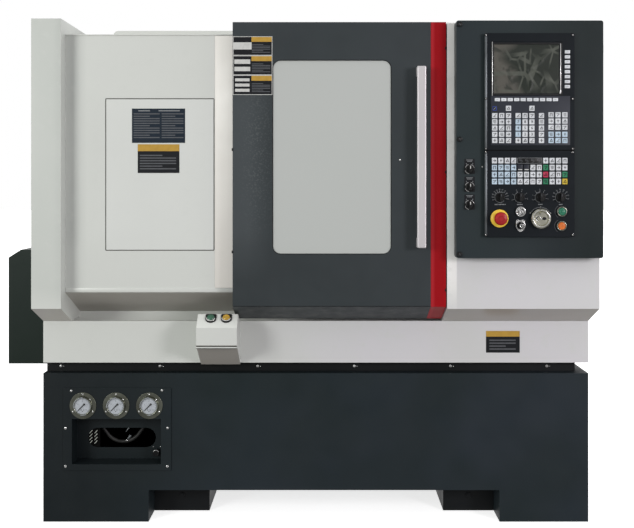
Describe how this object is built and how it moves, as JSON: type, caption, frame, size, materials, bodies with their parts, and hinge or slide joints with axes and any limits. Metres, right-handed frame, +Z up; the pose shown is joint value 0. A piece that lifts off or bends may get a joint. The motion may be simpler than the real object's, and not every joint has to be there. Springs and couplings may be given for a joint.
{
  "type": "cnc turning lathe",
  "caption": "Compact slant-bed turning lathe in a closed enclosure with a sliding front door, hinged control panel, chuck, turret and tailstock on a dark stand.",
  "frame": {"origin": "centre of the footprint, on the floor", "axes": "+Z up, +X to the operator's right, -Y towards the operator"},
  "size_m": [1.9812, 1.115, 1.6706],
  "materials": {
    "white_paint": "gloss orange-peel paint",
    "dark_paint": "fine-textured satin paint",
    "door_paint": "fine-textured satin paint",
    "black_paint": "satin black paint",
    "red_paint": "satin red paint",
    "guard_paint": "satin dark green paint",
    "machine_casting": "painted grey casting",
    "machined_steel": "turned and ground steel",
    "handle_aluminium": "anodised, brushed",
    "panel_plastic": "fine-grained black",
    "knob_plastic": "moulded black",
    "window_pane": "pale grey protective film on a flat pane",
    "screen_glass": "dark display glass with protective film",
    "estop_yellow": "gloss yellow",
    "estop_red": "gloss red",
    "button_green": "translucent green",
    "button_orange": "translucent orange",
    "button_dark_green": "gloss dark green",
    "button_yellow": "gloss yellow",
    "rubber_black": "matt black rubber",
    "gauge_steel": "satin plated steel with a white dial"
  },
  "bodies": {
    "machine": {"base_stand": "dark_paint", "plinth": "black_paint", "inner_foot_left": "black_paint", "inner_foot_right": "black_paint", "gauge_panel": "dark_paint", "pressure_gauge_left": "gauge_steel", "pressure_gauge_middle": "gauge_steel", "pressure_gauge_right": "gauge_steel", "gauge_hose": "rubber_black", "left_cover": "white_paint", "centre_cover": "white_paint", "right_cover": "white_paint", "apron": "white_paint", "rear_cabinet": "white_paint", "drive_guard": "guard_paint", "access_cover": "white_paint", "door_rail": "machined_steel", "button_box": "white_paint", "bed_casting": "machine_casting", "headstock": "machine_casting", "spindle_motor": "black_paint", "drive_belt": "rubber_black", "chip_gutter": "machined_steel"},
    "front_door": {"door_panel": "door_paint", "door_edge_strip": "red_paint", "door_window": "window_pane", "door_handle": "handle_aluminium"},
    "control_panel": {"control_door": "dark_paint", "cnc_screen_unit": "panel_plastic", "cnc_key_unit": "panel_plastic", "cnc_display": "screen_glass", "estop_collar": "estop_yellow"},
    "main_spindle": {"spindle": "machined_steel", "chuck": "machined_steel"},
    "estop_button_body": {"estop_button": "estop_red"},
    "feed_selector_1_body": {"feed_selector_1": "knob_plastic"},
    "feed_selector_2_body": {"feed_selector_2": "knob_plastic"},
    "feed_selector_3_body": {"feed_selector_3": "knob_plastic"},
    "feed_selector_4_body": {"feed_selector_4": "knob_plastic"},
    "mode_switch_1_body": {"mode_switch_1": "knob_plastic"},
    "mode_switch_2_body": {"mode_switch_2": "knob_plastic"},
    "mode_switch_3_body": {"mode_switch_3": "knob_plastic"},
    "handwheel_body": {"handwheel": "machined_steel"},
    "reset_button_body": {"reset_button": "machined_steel"},
    "key_switch_body": {"key_switch": "machined_steel"},
    "cycle_start_button_body": {"cycle_start_button": "button_green"},
    "feed_hold_button_body": {"feed_hold_button": "button_orange"},
    "coolant_start_button_body": {"coolant_start_button": "button_dark_green"},
    "coolant_stop_button_body": {"coolant_stop_button": "button_yellow"},
    "regulator_knob_body": {"regulator_knob": "knob_plastic"},
    "rear_cabinet_door_body": {"rear_cabinet_door": "white_paint"},
    "chuck_jaw_1_body": {"chuck_jaw_1": "machined_steel"},
    "chuck_jaw_2_body": {"chuck_jaw_2": "machined_steel"},
    "chuck_jaw_3_body": {"chuck_jaw_3": "machined_steel"},
    "motor_pulley_body": {"motor_pulley": "machined_steel"},
    "saddle_body": {"saddle": "machine_casting"},
    "turret_slide_body": {"turret_slide": "machine_casting"},
    "turret_disc_body": {"turret_disc": "machined_steel"},
    "tailstock_body": {"tailstock": "machine_casting"},
    "tailstock_quill_body": {"tailstock_quill": "machined_steel"}
  },
  "joints": [
    {"name": "front_door_slide", "type": "slide", "parent": "machine", "child": "front_door", "axis": [-1, 0, 0], "range_m": [0, 0.52]},
    {"name": "control_panel_hinge", "type": "hinge", "parent": "machine", "child": "control_panel", "pos_m": [0.98565, -0.4775, 0.856], "axis": [0, 0, 1], "range_deg": [0, 110]},
    {"name": "rear_cabinet_door_hinge", "type": "hinge", "parent": "machine", "child": "rear_cabinet_door_body", "pos_m": [0.67635, 0.5421, 0.6], "axis": [0, 0, -1], "range_deg": [0, 110]},
    {"name": "estop_push", "type": "slide", "parent": "control_panel", "child": "estop_button_body", "axis": [0, 1, 0], "range_m": [0, 0.005]},
    {"name": "feed_selector_1_turn", "type": "hinge", "parent": "control_panel", "child": "feed_selector_1_body", "pos_m": [0.66635, -0.5235, 1.04], "axis": [0, 1, 0], "range_deg": [-135, 135]},
    {"name": "feed_selector_2_turn", "type": "hinge", "parent": "control_panel", "child": "feed_selector_2_body", "pos_m": [0.72535, -0.5235, 1.04], "axis": [0, 1, 0], "range_deg": [-135, 135]},
    {"name": "feed_selector_3_turn", "type": "hinge", "parent": "control_panel", "child": "feed_selector_3_body", "pos_m": [0.78735, -0.5235, 1.04], "axis": [0, 1, 0], "range_deg": [-135, 135]},
    {"name": "feed_selector_4_turn", "type": "hinge", "parent": "control_panel", "child": "feed_selector_4_body", "pos_m": [0.84835, -0.5235, 1.04], "axis": [0, 1, 0], "range_deg": [-135, 135]},
    {"name": "mode_switch_1_turn", "type": "hinge", "parent": "control_panel", "child": "mode_switch_1_body", "pos_m": [0.57635, -0.5115, 1.125], "axis": [0, 1, 0], "range_deg": [-45, 45]},
    {"name": "mode_switch_2_turn", "type": "hinge", "parent": "control_panel", "child": "mode_switch_2_body", "pos_m": [0.57635, -0.5115, 1.0712], "axis": [0, 1, 0], "range_deg": [-45, 45]},
    {"name": "mode_switch_3_turn", "type": "hinge", "parent": "control_panel", "child": "mode_switch_3_body", "pos_m": [0.57635, -0.5115, 1.0174], "axis": [0, 1, 0], "range_deg": [-45, 45]},
    {"name": "handwheel_turn", "type": "hinge", "parent": "control_panel", "child": "handwheel_body", "pos_m": [0.78735, -0.5235, 0.9765], "axis": [0, 1, 0], "continuous": true},
    {"name": "reset_button_push", "type": "slide", "parent": "control_panel", "child": "reset_button_body", "axis": [0, 1, 0], "range_m": [0, 0.003], "stiffness_N_per_m": 400},
    {"name": "cycle_start_button_push", "type": "slide", "parent": "control_panel", "child": "cycle_start_button_body", "axis": [0, 1, 0], "range_m": [0, 0.003], "stiffness_N_per_m": 400},
    {"name": "feed_hold_button_push", "type": "slide", "parent": "control_panel", "child": "feed_hold_button_body", "axis": [0, 1, 0], "range_m": [0, 0.003], "stiffness_N_per_m": 400},
    {"name": "key_switch_turn", "type": "hinge", "parent": "control_panel", "child": "key_switch_body", "pos_m": [0.72735, -0.5235, 0.955], "axis": [0, 1, 0], "range_deg": [0, 90]},
    {"name": "coolant_start_button_push", "type": "slide", "parent": "machine", "child": "coolant_start_button_body", "axis": [0, 0.6299, -0.7766], "range_m": [0, 0.003], "stiffness_N_per_m": 400},
    {"name": "coolant_stop_button_push", "type": "slide", "parent": "machine", "child": "coolant_stop_button_body", "axis": [0, 0.6299, -0.7766], "range_m": [0, 0.003], "stiffness_N_per_m": 400},
    {"name": "regulator_knob_turn", "type": "hinge", "parent": "machine", "child": "regulator_knob_body", "pos_m": [-0.40965, -0.2775, 0.206], "axis": [0, 1, 0], "continuous": true},
    {"name": "spindle_spin", "type": "hinge", "parent": "machine", "child": "main_spindle", "pos_m": [0.11035, -0.0825, 1.02], "axis": [1, 0, 0], "continuous": true},
    {"name": "chuck_jaw_1_slide", "type": "slide", "parent": "main_spindle", "child": "chuck_jaw_1_body", "axis": [0, 0, -1], "range_m": [0, 0.006]},
    {"name": "chuck_jaw_2_slide", "type": "slide", "parent": "main_spindle", "child": "chuck_jaw_2_body", "axis": [0, 0.866, 0.5], "range_m": [0, 0.006]},
    {"name": "chuck_jaw_3_slide", "type": "slide", "parent": "main_spindle", "child": "chuck_jaw_3_body", "axis": [0, -0.866, 0.5], "range_m": [0, 0.006]},
    {"name": "motor_pulley_spin", "type": "hinge", "parent": "machine", "child": "motor_pulley_body", "pos_m": [0.11035, 0.1375, 0.64], "axis": [1, 0, 0], "continuous": true},
    {"name": "saddle_slide", "type": "slide", "parent": "machine", "child": "saddle_body", "axis": [-1, 0, 0], "range_m": [0, 0.3]},
    {"name": "turret_cross_slide", "type": "slide", "parent": "saddle_body", "child": "turret_slide_body", "axis": [0, -0.7071, -0.7071], "range_m": [0, 0.12]},
    {"name": "turret_index", "type": "hinge", "parent": "turret_slide_body", "child": "turret_disc_body", "pos_m": [0.31035, 0.10135, 1.20385], "axis": [1, 0, 0], "continuous": true},
    {"name": "tailstock_slide", "type": "slide", "parent": "machine", "child": "tailstock_body", "axis": [-1, 0, 0], "range_m": [0, 0.1]},
    {"name": "tailstock_quill_slide", "type": "slide", "parent": "tailstock_body", "child": "tailstock_quill_body", "axis": [-1, 0, 0], "range_m": [0, 0.08]}
  ],
  "couplings": [
    {"joint": "chuck_jaw_2_slide", "follows": "chuck_jaw_1_slide", "ratio": 1},
    {"joint": "chuck_jaw_3_slide", "follows": "chuck_jaw_1_slide", "ratio": 1},
    {"joint": "motor_pulley_spin", "follows": "spindle_spin", "ratio": 1.7333}
  ]
}
